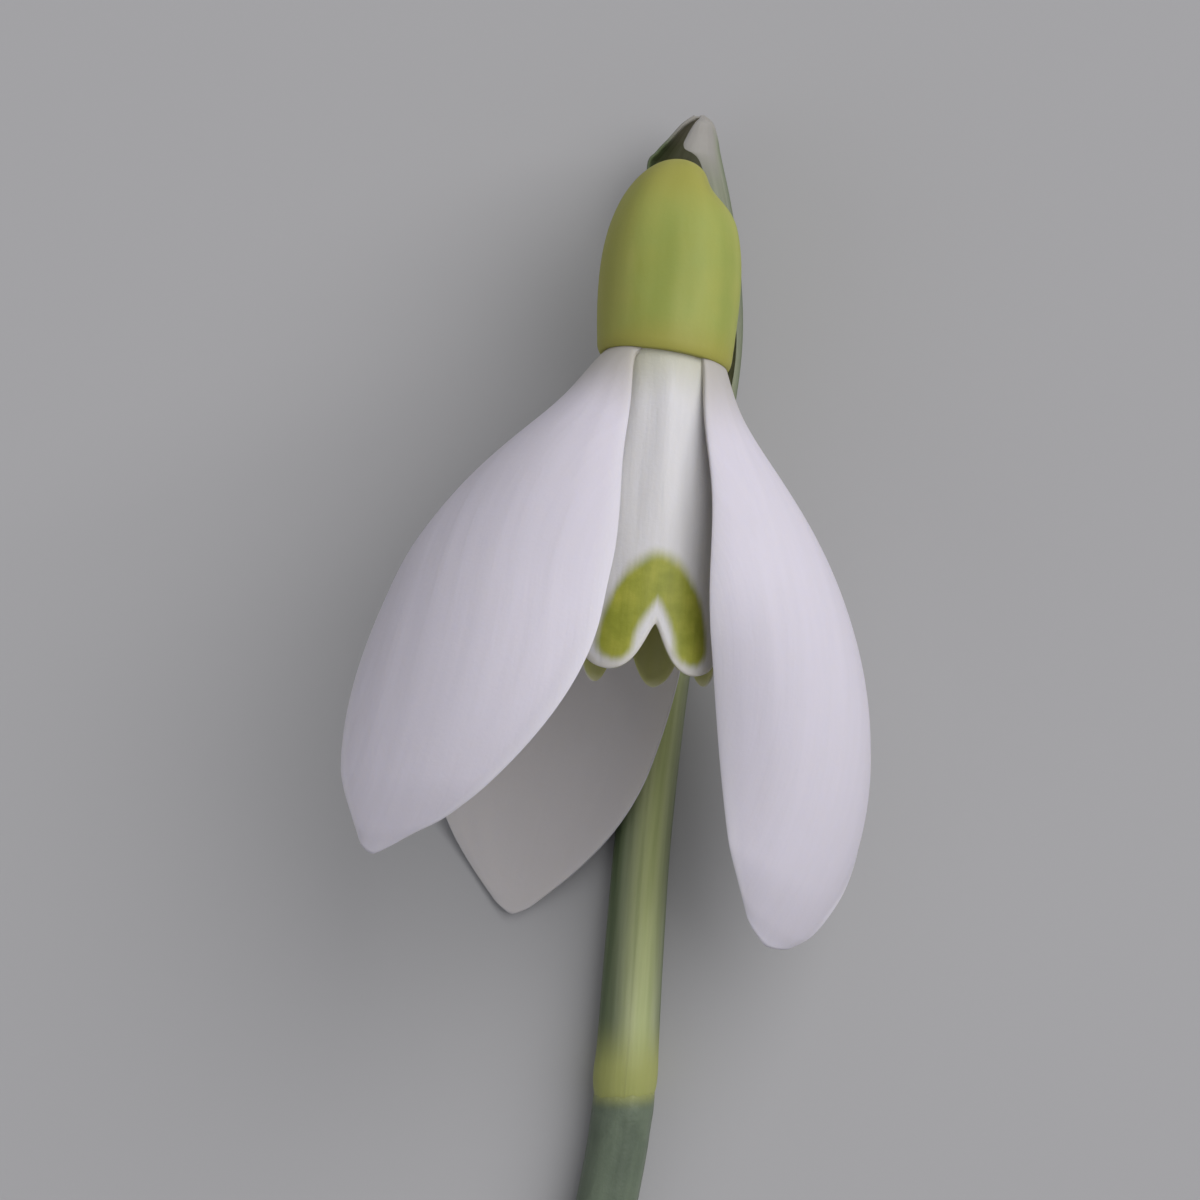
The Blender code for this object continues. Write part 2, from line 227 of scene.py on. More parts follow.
NOISE_LOW, NOISE_HIGH = 0.35, 0.65     # stretch noise to its full range
SCATTER_DEPTH = 0.6                # subsurface scale, in millimetres
SCATTER_COLOR = (1.0, 0.9, 0.7)
CUT_PALE = (0.55, 0.60, 0.36)
NODE_YELLOW = (0.39, 0.41, 0.125)  # where scape and sheath meet


# ---------------------------------------------------------------- small maths
def smooth(x):
    """Smoothstep, held at 0 and 1 outside its range."""
    x = np.clip(x, 0.0, 1.0)
    return x * x * (3 - 2 * x)


def bump_at(x, middle, width):
    """A soft bump of height 1."""
    return np.exp(-((x - middle) / width) ** 2)


def catmull(points, per_span):
    """Rows along a smooth curve through all the given rows."""
    knots = np.array([points[0], *points, points[-1]], float)
    found = []
    for a, b, c, d in zip(knots, knots[1:], knots[2:], knots[3:]):
        u = (np.arange(per_span) / per_span)[:, None]
        found.append(0.5 * (2 * b + (c - a) * u + (2 * a - 5 * b + 4 * c - d) * u ** 2
                            + (3 * b - a - 3 * c + d) * u ** 3))
    return np.vstack([*found, knots[-1:]])


def wander(x, seed, waves=5):
    """A smooth wavy line of x between about -1 and 1, the same each run."""
    rng = np.random.default_rng(seed)
    total = np.zeros_like(x, dtype=float)
    for k in range(1, waves + 1):
        total += np.sin(x * k * rng.uniform(0.7, 1.3) + rng.uniform(0, 6.28)) / k ** 0.7
    return total / 2.0


def unit(v):
    """Vectors brought to length 1."""
    return v / np.maximum(np.linalg.norm(v, axis=-1, keepdims=True), 1e-12)


def head_matrix():
    """Turns the hanging frame (z up, -y to the viewer) to the lying head."""
    a, b = HEAD_LEAN, HEAD_PITCH
    lay = np.array([[1, 0, 0], [0, 0, 1], [0, -1, 0]], float)
    pitch = np.array([[1, 0, 0], [0, math.cos(b), math.sin(b)], [0, -math.sin(b), math.cos(b)]])
    lean = np.array([[math.cos(a), math.sin(a), 0], [-math.sin(a), math.cos(a), 0], [0, 0, 1]])
    return lean @ pitch @ lay


def from_head(points):
    """Points of the hanging frame in the layout."""
    return points @ head_matrix().T + np.array(HEAD_BASE)


def ovary_share(z, narrowing):
    """The ovary's radius at height z, as a share of its widest."""
    x = np.clip((z - OVARY_WIDEST) / (OVARY_HEIGHT - OVARY_WIDEST), 0, 1)
    top = np.sqrt(np.clip(1 - x ** OVARY_DOME, 0, 1))
    foot = 1 - narrowing * (1 - z / OVARY_WIDEST) ** 2
    return np.where(z > OVARY_WIDEST, top, foot)


def layout_shift():
    """Where the layout's origin went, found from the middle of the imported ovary."""
    z = np.linspace(OVARY_FOOT, OVARY_HEIGHT, 400)[:, None]
    turn = np.linspace(0, 2 * np.pi, 97)[None, :]
    radius = OVARY_RADIUS * ovary_share(z, OVARY_FOOT_NARROWING)
    ring = np.stack([radius * np.cos(turn), radius * np.sin(turn), z + 0 * turn], -1)
    spots = from_head(ring.reshape(-1, 3)) * MM
    low, high = (np.array(corner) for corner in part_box("ovary"))
    shift = (low + high) / 2 - (spots.min(0) + spots.max(0)) / 2
    shift[2] = 0.0                     # both layouts stand on the surface
    return shift


SHIFT = layout_shift()


def to_frame(points):
    """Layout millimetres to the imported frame's metres."""
    return np.asarray(points, float) * MM + SHIFT


# ---------------------------------------------------------------- meshes
def new_piece(name, verts, faces, masks, material, node):
    """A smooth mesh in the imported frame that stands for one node."""
    mesh = bpy.data.meshes.new(name)
    mesh.from_pydata(to_frame(verts).tolist(), [], faces)
    for key, values in masks.items():
        layer = mesh.attributes.new(key, "FLOAT", "POINT")
        layer.data.foreach_set("value", np.ascontiguousarray(values, dtype=np.float32).ravel())
    mesh.validate()
    mesh.update()
    mesh.shade_smooth()
    mesh.materials.append(material)
    piece = bpy.data.objects.new(name, mesh)
    bpy.context.scene.collection.objects.link(piece)
    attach(piece, "root")
    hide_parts(node)
    return piece


def grid_faces(index, wrap=False, flip=False):
    """Quads over a grid of vertex numbers, closed across its columns with wrap."""
    right = np.roll(index, -1, axis=1) if wrap else index[:, 1:]
    left = index if wrap else index[:, :-1]
    quads = np.stack([left[:-1], right[:-1], right[1:], left[1:]], -1).reshape(-1, 4)
    if flip:
        quads = quads[:, ::-1]
    return quads.tolist()


def grid_normals(grid):
    """Unit normals of a grid of points, pointing out of its convex side."""
    along = np.gradient(grid, axis=0)
    across = np.gradient(grid, axis=1)
    return unit(np.cross(across, along))


RELIEF_ECHO = 0.7                  # share of a sheet's relief that shows on its other side


def thick_sheet(grid, thickness, relief):
    """A closed sheet round a grid, as vertices and faces: the relief is pushed out of the
    convex side and echoed on the other side."""
    rows, cols = grid.shape[:2]
    normal = grid_normals(grid)
    outer = grid + normal * (thickness / 2 + relief)[..., None]
    inner = grid - normal * (thickness / 2 - RELIEF_ECHO * relief)[..., None]
    verts = np.concatenate([outer.reshape(-1, 3), inner.reshape(-1, 3)])
    top = np.arange(rows * cols).reshape(rows, cols)
    low = top + rows * cols
    faces = grid_faces(top) + grid_faces(low, flip=True)
    ring = np.concatenate([top[0, :-1], top[:-1, -1], top[-1, :0:-1], top[:0:-1, 0]])
    under = ring + rows * cols
    ring_next, under_next = np.roll(ring, -1), np.roll(under, -1)
    faces += np.stack([ring_next, ring, under, under_next], -1).tolist()
    return verts, faces


def both_sides(values):
    """A mask for the outer and then the inner side of a thick sheet."""
    flat = np.asarray(values, float).ravel()
    return np.concatenate([flat, flat])


def tube_grid(centres, radii, sides, ribs):
    """Rings round a path, turned as little as possible from one to the next."""
    tangents = unit(np.gradient(centres, axis=0))
    up = unit(np.cross(np.cross(tangents[0], (0, 0, 1.0)), tangents[0]))
    rings = []
    for centre, tangent, radius in zip(centres, tangents, radii):
        up = unit(up - tangent * np.dot(up, tangent))
        side = np.cross(tangent, up)
        turn = np.linspace(0, 2 * np.pi, sides, endpoint=False)
        radius = radius * ribs
        rings.append(centre + (np.cos(turn) * radius)[:, None] * side
                     + (np.sin(turn) * radius)[:, None] * up)
    return np.array(rings)


def capped_tube(grid):
    """A closed tube from rings, with a fan over each end."""
    rows, cols = grid.shape[:2]
    verts = np.concatenate([grid.reshape(-1, 3), grid[:1].mean(1), grid[-1:].mean(1)])
    index = np.arange(rows * cols).reshape(rows, cols)
    start, end = rows * cols, rows * cols + 1
    faces = grid_faces(index, wrap=True)
    first, last = index[0], index[-1]
    faces += [[start, b, a] for a, b in zip(first.tolist(), np.roll(first, -1).tolist())]
    faces += [[end, a, b] for a, b in zip(last.tolist(), np.roll(last, -1).tolist())]
    return verts, faces


def ring_mask(values, ends):
    """A mask of a capped tube: one value for each grid point, then the two ends."""
    return np.concatenate([np.asarray(values, float).ravel(), ends])


# ---------------------------------------------------------------- materials
def new_material(name, roughness, subsurface):
    """A material with its node tree and its shader."""
    made = bpy.data.materials.new(name)
    made.use_nodes = True
    shader = made.node_tree.nodes["Principled BSDF"]
    shader.inputs["Roughness"].default_value = roughness
    shader.inputs["Subsurface Weight"].default_value = subsurface
    shader.inputs["Subsurface Radius"].default_value = SCATTER_COLOR
    shader.inputs["Subsurface Scale"].default_value = SCATTER_DEPTH * MM
    shader.inputs["Specular IOR Level"].default_value = 0.35
    return made, made.node_tree, shader


def attribute(tree, name):
    """A socket with a mesh's mask."""
    node = tree.nodes.new("ShaderNodeAttribute")
    node.attribute_name = name
    return node.outputs["Fac"]


def plug(tree, socket, value):
    """Sets a socket to a number or a colour, or links another socket to it."""
    if isinstance(value, tuple):
        socket.default_value = (*value, 1.0)
    elif isinstance(value, (int, float)):
        socket.default_value = value
    else:
        tree.links.new(value, socket)


def maths(tree, operation, a, b):
    """A sum or product of two sockets, or of a socket and a number."""
    node = tree.nodes.new("ShaderNodeMath")
    node.operation = operation
    for socket, value in zip(node.inputs, (a, b)):
        plug(tree, socket, value)
    return node.outputs[0]


def scaled(tree, value, share):
    """A socket times a number."""
    return maths(tree, "MULTIPLY", value, share)


def mix(tree, factor, first, second):
    """Mixes two colours, each a tuple or a socket."""
    node = tree.nodes.new("ShaderNodeMix")
    node.data_type = "RGBA"
    for socket, value in ((node.inputs[0], factor), (node.inputs[6], first),
                          (node.inputs[7], second)):
        plug(tree, socket, value)
    return node.outputs[2]


def noise_node(tree, scale, detail, vector):
    """Noise from 0 to 1."""
    node = tree.nodes.new("ShaderNodeTexNoise")
    node.inputs["Detail"].default_value = detail
    node.inputs["Scale"].default_value = scale
    tree.links.new(vector, node.inputs["Vector"])
    spread = tree.nodes.new("ShaderNodeMapRange")
    spread.inputs["From Min"].default_value = NOISE_LOW
    spread.inputs["From Max"].default_value = NOISE_HIGH
    tree.links.new(node.outputs["Fac"], spread.inputs["Value"])
    return spread.outputs["Result"]


def noise(tree, per_mm, detail):
    """Noise with about so many cells in a millimetre."""
    coord = tree.nodes.new("ShaderNodeTexCoord")
    return noise_node(tree, per_mm / MM, detail, coord.outputs["Object"])


def streak_noise(tree, across, across_scale, along, along_scale, detail=3.0):
    """Noise drawn out between two masks, each scaled."""
    place = tree.nodes.new("ShaderNodeCombineXYZ")
    tree.links.new(scaled(tree, attribute(tree, across), across_scale), place.inputs[0])
    tree.links.new(scaled(tree, attribute(tree, along), along_scale), place.inputs[1])
    return noise_node(tree, 1.0, detail, place.outputs[0])


def bump(tree, shader, height, distance):
    """Relief in millimetres from a height socket."""
    node = tree.nodes.new("ShaderNodeBump")
    node.inputs["Distance"].default_value = distance * MM
    tree.links.new(height, node.inputs["Height"])
    tree.links.new(node.outputs["Normal"], shader.inputs["Normal"])


def grainy_bump(tree, shader, streaks, cells_per_mm, cell_share, distance):
    """Relief of streaks with finer cells between them."""
    cells = noise(tree, cells_per_mm, 2.0)
    bump(tree, shader, maths(tree, "ADD", streaks, scaled(tree, cells, cell_share)), distance)


def petal_material():
    """Waxy white with a lavender cast and faint lengthwise veins, cream where it joins, with
    painted shade over the claw and a warm grey painted shade over each inner face.
    """
    made, tree, shader = new_material("petal_white", 0.5, subsurface=0.3)
    streaks = streak_noise(tree, "across", 2.6, "along", 0.16)
    mottle = noise(tree, 0.55, 4.0)
    color = mix(tree, scaled(tree, streaks, 0.2), (0.73, 0.695, 0.78), (0.665, 0.635, 0.705))
    color = mix(tree, scaled(tree, mottle, 0.3), color, (0.70, 0.665, 0.725))
    color = mix(tree, scaled(tree, attribute(tree, "vein"), 0.10), color, (0.62, 0.60, 0.66))
    color = mix(tree, scaled(tree, attribute(tree, "margin"), 0.45), color, (0.79, 0.76, 0.81))
    # painted shade: the whole inner face of each outer tepal is mixed to warm grey, as if in
    # shade, though it is as white as the outer face
    color = mix(tree, attribute(tree, "inside_tint_and_shade"), color, (0.60, 0.57, 0.55))
    # partly painted shade: near the ovary the claw's own cream tint is darkened further,
    # standing in for the shade there
    color = mix(tree, attribute(tree, "claw"), color, (0.42, 0.40, 0.32))
    tree.links.new(color, shader.inputs["Base Color"])
    grainy_bump(tree, shader, streaks, 7.0, 0.3, 0.005)
    tree.links.new(maths(tree, "ADD", scaled(tree, mottle, 0.10), 0.46),
                   shader.inputs["Roughness"])
    return made


def inner_material():
    """White with a green mark outside and green inside."""
    made, tree, shader = new_material("inner_petal", 0.5, subsurface=0.3)
    streaks = streak_noise(tree, "across", 3.2, "along", 0.3)
    mottle = noise(tree, 1.6, 4.0)
    white = mix(tree, scaled(tree, streaks, 0.45), (0.765, 0.755, 0.76), (0.68, 0.67, 0.67))
    green = mix(tree, mottle, (0.31, 0.34, 0.038), (0.43, 0.435, 0.062))
    green = mix(tree, scaled(tree, streaks, 0.4), green, (0.24, 0.27, 0.032))
    color = mix(tree, attribute(tree, "rim"), white, (0.74, 0.70, 0.60))
    color = mix(tree, attribute(tree, "green"), color, green)
    color = mix(tree, attribute(tree, "inside_tint_and_shade"), color, (0.52, 0.52, 0.24))
    color = mix(tree, attribute(tree, "claw"), color, (0.48, 0.48, 0.30))
    tree.links.new(color, shader.inputs["Base Color"])
    grainy_bump(tree, shader, streaks, 8.0, 0.4, 0.006)
    return made


def ovary_material():
    """Yellow-green with soft lengthwise bands, yellower at foot and top."""
    made, tree, shader = new_material("ovary_skin", 0.58, subsurface=0.25)
    streaks = streak_noise(tree, "turn", 4.0, "t", 1.2)
    mottle = noise(tree, 1.1, 4.0)
    color = mix(tree, streaks, (0.325, 0.365, 0.070), (0.43, 0.455, 0.120))
    color = mix(tree, scaled(tree, mottle, 0.4), color, (0.33, 0.40, 0.10))
    color = mix(tree, attribute(tree, "band"), color, (0.25, 0.31, 0.055))
    color = mix(tree, attribute(tree, "yellow"), color, (0.38, 0.35, 0.07))
    tree.links.new(color, shader.inputs["Base Color"])
    grainy_bump(tree, shader, streaks, 5.0, 0.3, 0.006)
    return made


def stalk_material(name, dark, light, yellow):
    """A smooth stalk with lengthwise streaks, a yellower stretch and a pale cut end."""
    made, tree, shader = new_material(name, 0.48, subsurface=0.15)
    streaks = streak_noise(tree, "turn", 4.0, "t", 2.0, detail=4.0)
    mottle = noise(tree, 0.7, 4.0)
    color = mix(tree, streaks, dark, light)
    color = mix(tree, scaled(tree, mottle, 0.35), color, light)
    color = mix(tree, attribute(tree, "yellow"), color, yellow)
    color = mix(tree, attribute(tree, "cut"), color, CUT_PALE)
    tree.links.new(color, shader.inputs["Base Color"])
    grainy_bump(tree, shader, streaks, 6.0, 0.3, 0.02)
    return made


def sheath_material():
    """Two green keels joined by a thin membrane, bright where the pedicel lies against it,
    yellow at the node and papery white at the tip.  The keels' dark green is partly painted
    shade, and the bright stripe is partly painted light that lifts the flower's shadow."""
    made, tree, shader = new_material("sheath_skin", 0.5, subsurface=0.25)
    streaks = streak_noise(tree, "turn", 3.5, "t", 5.0)
    film = mix(tree, streaks, (0.225, 0.245, 0.170), (0.30, 0.32, 0.235))
    # partly painted shade: the keel colour is darker than the keels' own green, standing in for
    # the shade on the sheath's sides
    keel_and_shade = mix(tree, streaks, (0.090, 0.125, 0.058), (0.128, 0.17, 0.082))
    color = mix(tree, attribute(tree, "keel_and_shade"), film, keel_and_shade)
    # partly painted light: the pedicel's band seen through the membrane, its colours raised to
    # lift the flower's cast shadow
    pedicel_band_and_painted_light = mix(tree, streaks, (0.56, 0.64, 0.25), (0.66, 0.73, 0.31))
    color = mix(tree, attribute(tree, "pedicel_band_and_painted_light"), color, pedicel_band_and_painted_light)
    color = mix(tree, attribute(tree, "yellow"), color, NODE_YELLOW)
    color = mix(tree, attribute(tree, "paper"), color, (0.35, 0.335, 0.31))
    tree.links.new(color, shader.inputs["Base Color"])
    bump(tree, shader, streaks, 0.010)
    return made


def anther_material():
    """Orange-yellow anther on a pale filament."""
    made, tree, shader = new_material("anther_skin", 0.6, subsurface=0.1)
    grain = noise(tree, 6.0, 4.0)
    color = mix(tree, grain, (0.62, 0.30, 0.03), (0.80, 0.48, 0.09))
    color = mix(tree, attribute(tree, "pale"), color, (0.62, 0.66, 0.42))
    tree.links.new(color, shader.inputs["Base Color"])
    bump(tree, shader, grain, 0.02)
    return made


def style_material():
    """Pale green, whiter at the tip."""
    made, tree, shader = new_material("style_skin", 0.5, subsurface=0.1)
    grain = noise(tree, 3.0, 4.0)
    color = mix(tree, grain, (0.44, 0.54, 0.22), (0.60, 0.66, 0.36))
    color = mix(tree, attribute(tree, "pale"), color, (0.74, 0.75, 0.62))
    tree.links.new(color, shader.inputs["Base Color"])
    bump(tree, shader, grain, 0.01)
    return made


# ---------------------------------------------------------------- tepals
def midrib(length, ring, splay, power, t, dip=0.0):
    """Radius, height and slope of a tepal's midrib at each t, summed along it; the claw's
    root runs straight on above t = 0."""
    fine = np.linspace(0, 1, 400)
    slope = np.radians(splay[0] + (splay[1] - splay[0]) * fine ** power
                       - dip * np.exp(-(fine / DIP_REACH) ** 2))
    middle = (slope[1:] + slope[:-1]) / 2
    step = length / (len(fine) - 1)
    radius = ring + np.concatenate([[0], np.cumsum(np.sin(middle)) * step])
    height = -np.concatenate([[0], np.cumsum(np.cos(middle)) * step])
    root = length * np.minimum(t, 0)
    return [np.interp(t, fine, radius) + root * math.sin(slope[0]),
            np.interp(t, fine, height) - root * math.cos(slope[0]), np.interp(t, fine, slope)]


def tepal_points(rib, across, curve, twist, azimuth, sideways):
    """Points of a tepal in the hanging frame: across is the signed arc off the midrib."""
    radius, height, slope = rib
    turn = across / curve
    lateral, inward = curve * np.sin(turn), curve * (1 - np.cos(turn))
    lateral, inward = (lateral * np.cos(twist) - inward * np.sin(twist),
                       lateral * np.sin(twist) + inward * np.cos(twist))
    outward = radius - inward * np.cos(slope)
    lateral = lateral + sideways
    return np.stack([outward * np.cos(azimuth) - lateral * np.sin(azimuth),
                     -outward * np.sin(azimuth) - lateral * np.cos(azimuth),
                     height - inward * np.sin(slope)], -1)


def outer_grid(spec, s, t):
    """Points of an outer tepal, and how far across it each one lies.  s runs from the
    dented edge, -1, to the other edge, 1; t from the claw, 0, to the tip, 1."""
    nib_rows = smooth((t - NIB_ROWS_START) / (1 - NIB_ROWS_START))
    t = t - TIP_NIB / spec["length"] * nib_rows * (1 - np.sqrt(1 - s * s))
    on_blade = np.clip(t, 0, 1)
    rise = np.sin(np.pi / 2 * np.clip(on_blade / spec["widest"], 0, 1)) ** spec["rise"]
    x = np.clip((on_blade - spec["widest"]) / (1 - spec["widest"]), 0, 1)
    broad = spec["claw"] + (1 - spec["claw"]) * rise
    narrow = TIP_SHARE + (1 - TIP_SHARE) * (1 - x * x) ** spec["point"]
    half = spec["half"] * np.where(on_blade < spec["widest"], broad, narrow)
    place, depth = spec["dent"]
    half = half * (1 - depth * bump_at(on_blade, place, DENT_SPREAD) * (s < 0))
    shoulder = bump_at(on_blade, SHOULDER_AT, SHOULDER_SPREAD) * (s > 0)
    half = half * (1 + spec["shoulder"] * shoulder)
    start = np.where(s > 0, NARROWING_STARTS[1], NARROWING_STARTS[0])
    half = half * (1 - spec["nib"] * smooth((on_blade - start) / (1 - start)))
    rib = midrib(spec["length"], spec["ring"], spec["splay"], spec["power"], t, spec["dip"])
    rib[0] = rib[0] + CLAW_SWELL * (1 - smooth(t / CLAW_SWELL_END))
    curve = CLAW_CURVE + (spec["curve"] - CLAW_CURVE) * smooth(2 * on_blade)
    tip_part = np.clip((t - TIP_BOW_START) / (1 - TIP_BOW_START), 0, 1)
    bow = spec["side"] * on_blade ** 2 + spec["tip_side"] * tip_part ** 2
    bow = bow + spec["nib_side"] * smooth((t - NIB_BOW_START) / (1 - NIB_BOW_START))
    points = tepal_points(rib, half * s, curve, math.radians(spec["twist"]) * smooth(t),
                          math.radians(spec["azimuth"]), bow)
    return from_head(points), half * s


def make_outer_tepals(material):
    """Each outer tepal: a fleshy claw, a spoon-shaped blade with faint veins, a thin margin."""
    # Columns crowd towards the margins, where the sheet thins and flares.
    s = np.sin(np.linspace(-np.pi / 2, np.pi / 2, OUTER_COLUMNS))[None, :]
    for number, (name, spec) in enumerate(OUTER_TEPALS.items()):
        t = np.linspace(-CLAW_ROOT / spec["length"], 1, OUTER_ROWS)[:, None]
        grid, across = outer_grid(spec, s, t)
        edge = np.abs(s) + 0 * t
        body = smooth(t / 0.15) * smooth((1 - t) / 0.35) * (1 - edge ** 4)
        veins = np.cos(s * VEIN_COUNT + 0.5 * wander(t * 5, 10 + number)) * body
        folds = wander(s * FOLD_COUNT, 30 + number) * body
        flare = smooth((edge - MARGIN_START) / (1 - MARGIN_START))
        flare = flare * smooth((t - 0.45) / 0.2) * smooth((1 - t) / 0.1)
        flare = flare * np.where(s < 0, FLARES[0], FLARES[1])
        relief = VEIN_RELIEF * veins + FOLD_RELIEF * folds + flare
        if name == "right":
            crease = bump_at(s, CREASE_AT, CREASE_SPREAD)
            crease = crease * smooth((t - 0.1) / 0.15) * smooth((0.7 - t) / 0.25)
            relief = relief - CREASE_DEPTH * crease
        if name == "back":
            groove = bump_at(s, GROOVE_AT, GROOVE_SPREAD) * smooth((t - 0.5) / 0.3) * body
            relief = relief - GROOVE_DEPTH * groove
        towards_tip = (1 - 0.35 * smooth(t / 0.6)) * (0.4 + 0.6 * smooth((1 - t) / 0.04))
        thickness = OUTER_THICKNESS * (0.3 + 0.7 * np.sqrt(np.clip(1 - edge ** 6, 0, 1)))
        thickness = thickness * towards_tip
        verts, faces = thick_sheet(grid, thickness, relief)
        masks = dict(
            across=both_sides(across), along=both_sides(spec["length"] * t + 0 * s),
            vein=both_sides(smooth((veins - 0.3) / 0.6)),
            margin=both_sides(smooth((edge - MARGIN_START) / 0.12)),
            # painted shade: marks the inner face of each outer tepal for its warm grey shade
            # colour
            inside_tint_and_shade=np.repeat([0.0, 0.85], edge.size),
            # claw mask: cream tint and painted shade near the ovary
            claw=both_sides(0.75 * (1 - smooth(t / 0.16)) + 0 * s))
        new_piece(f"petal_{name}", verts, faces, masks, material, f"outer_tepal_{name}")


def inner_along(spec, s, t):
    """How far down its midrib each point lies, drawn up at the notch and the corners."""
    notch = NOTCH_DEPTH * np.exp(-(np.abs(s) / NOTCH_WIDTH) ** NOTCH_POINT)
    past = np.clip(np.abs(s) - LOBE_CORNER, 0, 1) / (1 - LOBE_CORNER)
    corner = spec["rounding"] * past ** 2 + CORNER_CUT * past ** CORNER_POWER
    return t * (1 - (notch + corner) * (t > 0))


def inner_half(spec, along):
    """Half the width of an inner tepal."""
    rise = np.sin(np.pi / 2 * np.clip(along / INNER_WIDEST, 0, 1)) ** INNER_RISE
    return spec["half"] * (spec["claw"] + (1 - spec["claw"]) * rise)


def inner_grid(spec, s, t):
    """Points of an inner tepal."""
    along = inner_along(spec, s, t)
    rib = midrib(INNER_LENGTH, INNER_RING, INNER_SPLAY, 1.0, along)
    curve = INNER_CLAW_CURVE + (INNER_CURVE - INNER_CLAW_CURVE) * smooth(2 * along)
    return from_head(tepal_points(rib, inner_half(spec, along) * s, curve, 0.0,
                                  math.radians(spec["azimuth"]), 0.0))


# Spine of the green mark outside an inner tepal: offset from the midrib, height above
# the lobes' ends, and the mark's half width there, in millimetres.
MARK_SPINE = [(1.23, 0.94, 0.59), (1.13, 1.5, 0.60), (0.81, 2.3, 0.64), (0.37, 2.95, 0.65),
              (0.0, 3.18, 0.72)]


def mark_mask(across, above):
    """The green mark: a thick inverted V round the notch that fades out at its top."""
    spine = catmull(MARK_SPINE, 6)
    x, y = np.abs(across)[..., None], above[..., None]
    gap = (np.hypot(x - spine[:, 0], y - spine[:, 1]) - spine[:, 2]).min(-1)
    gap = gap + 0.03 * wander(across * 9, 71)
    softness = 0.34 + 0.30 * smooth((above - 2.6) / 1.2)
    return smooth(0.5 - gap / softness)


def inside_mask(s, above):
    """Green with darker stripes over the lower half of the inside, and a pale margin."""
    stripes = 0.93 + 0.07 * np.cos(s * 22)
    return stripes * smooth((6.2 - above) / 2.0) * smooth((above - 0.12) / 0.25) * (
        1 - smooth((np.abs(s) - 0.86) / 0.12))


def make_inner_tepals(material):
    """Each inner tepal: softly ribbed above, notched below, green on both sides of it."""
    s = np.linspace(-1, 1, INNER_COLUMNS)[None, :]
    t = np.linspace(-INNER_ROOT / INNER_LENGTH, 1, INNER_ROWS)[:, None]
    for number, (name, spec) in enumerate(INNER_TEPALS.items()):
        grid = inner_grid(spec, s, t)
        along = inner_along(spec, s, t)
        half = inner_half(spec, along)
        above = INNER_LENGTH * (1 - along)
        edge = np.abs(s) + 0 * t
        rim = np.clip(np.minimum(INNER_LENGTH * (1 - t) * 0.8, half * (1 - edge)), 0, 1)
        ribs = np.cos(s * INNER_RIB_COUNT + 0.5 * wander(t * 3, 40 + number))
        ribs = ribs * smooth(t / 0.15) * smooth((above - 3.2) / 3.0) * (1 - edge ** 4)
        green = mark_mask(half * s, above) * smooth(rim / 0.2)
        relief = INNER_RIB_RELIEF * ribs + MARK_RELIEF * green
        thickness = INNER_THICKNESS * (0.45 + 0.55 * np.sqrt(smooth(rim / 0.25)))
        verts, faces = thick_sheet(grid, thickness, relief)
        masks = dict(
            across=both_sides(half * s), along=both_sides(INNER_LENGTH * along),
            green=np.concatenate([green.ravel(), inside_mask(s, above).ravel()]),
            inside_tint_and_shade=np.repeat([0.0, 0.8], edge.size),
            rim=both_sides(0.6 * (1 - smooth(rim / 0.3)) * smooth((3.0 - above) / 1.0)),
            claw=both_sides(0.6 * (1 - smooth(t / 0.20)) + 0 * s))
        new_piece(f"cup_{name}", verts, faces, masks, material, f"inner_tepal_{name}")


# ---------------------------------------------------------------- ovary and inside
def make_ovary(material):
    """A blunt green capsule with six soft ribs, drawn in where the tepals join it."""
    k = np.linspace(0, 1, OVARY_ROWS)[:, None]
    low, high = OVARY_SKIN_LOW, OVARY_HEIGHT
    z = high + (low - high) * np.sin(np.pi / 2 * k) ** 2
    turn = np.linspace(0, 2 * np.pi, OVARY_COLUMNS, endpoint=False)[None, :]
    share = ovary_share(z, OVARY_SKIN_NARROWING)
    foot = np.sqrt(1 - (1 - np.clip((z - low) / 0.35, 0, 1)) ** 2)
    ribs = OVARY_RIB_RELIEF * np.cos(OVARY_RIB_COUNT * turn + 0.6)
    ribs = ribs * smooth((z - 0.4) / 2) * smooth((high - z) / 1.5)
    uneven = OVARY_UNEVENNESS * wander(turn + 0 * z, 5, 3) * np.sin(turn / 2) ** 2 * share
    flat = OVARY_FLAT_DEPTH * np.clip(np.cos(turn - 0.1), 0, 1) ** 2
    flat = flat * bump_at(z, OVARY_FLAT_AT, OVARY_FLAT_SPREAD) * share
    radius = OVARY_RADIUS * (share * (0.95 + 0.05 * foot) + ribs + uneven * foot - flat)
    tilt = OVARY_FOOT_TILT * np.cos(turn) * smooth((2.0 - z) / 2.0)
    ring = np.stack([radius * np.cos(turn), radius * np.sin(turn), z - tilt], -1)
    verts, faces = capped_tube(from_head(ring))
    flat_turn = np.abs(turn / np.pi - 1) + 0 * z
    yellow = np.maximum(0.8 * smooth((1.3 - z) / 1.3), 0.7 * smooth((z - 4.2) / 2.0))
    yellow = np.maximum(yellow, 0.6 * smooth((-np.cos(turn) - 0.3) / 0.7))
    band = 0.4 * smooth(np.cos(OVARY_RIB_COUNT * turn + 3.7)) * smooth((5.5 - z) / 2)
    masks = dict(
        turn=ring_mask(flat_turn, [0, 0]), t=ring_mask(k + 0 * turn, [0, 1]),
        band=ring_mask(band, [0, 0]),
        yellow=ring_mask(yellow + 0 * turn, [0.6, 0.8]))
    new_piece("ovary_body", verts, [f[::-1] for f in faces], masks, material, "ovary")


def rod_grid(stations, sides, lobes=0, lobe_depth=0.0):
    """Rings of (radius, height) stations about the hanging axis."""
    path = catmull(stations, 6)
    turn = np.linspace(0, 2 * np.pi, sides, endpoint=False)[None, :]
    radius = np.maximum(path[:, :1], ROD_TIP)
    radius = radius * (1 + lobe_depth * np.cos(lobes * turn) * smooth(radius / ANTHER_RADIUS))
    return np.stack([radius * np.cos(turn), radius * np.sin(turn), path[:, 1:] + 0 * turn], -1)


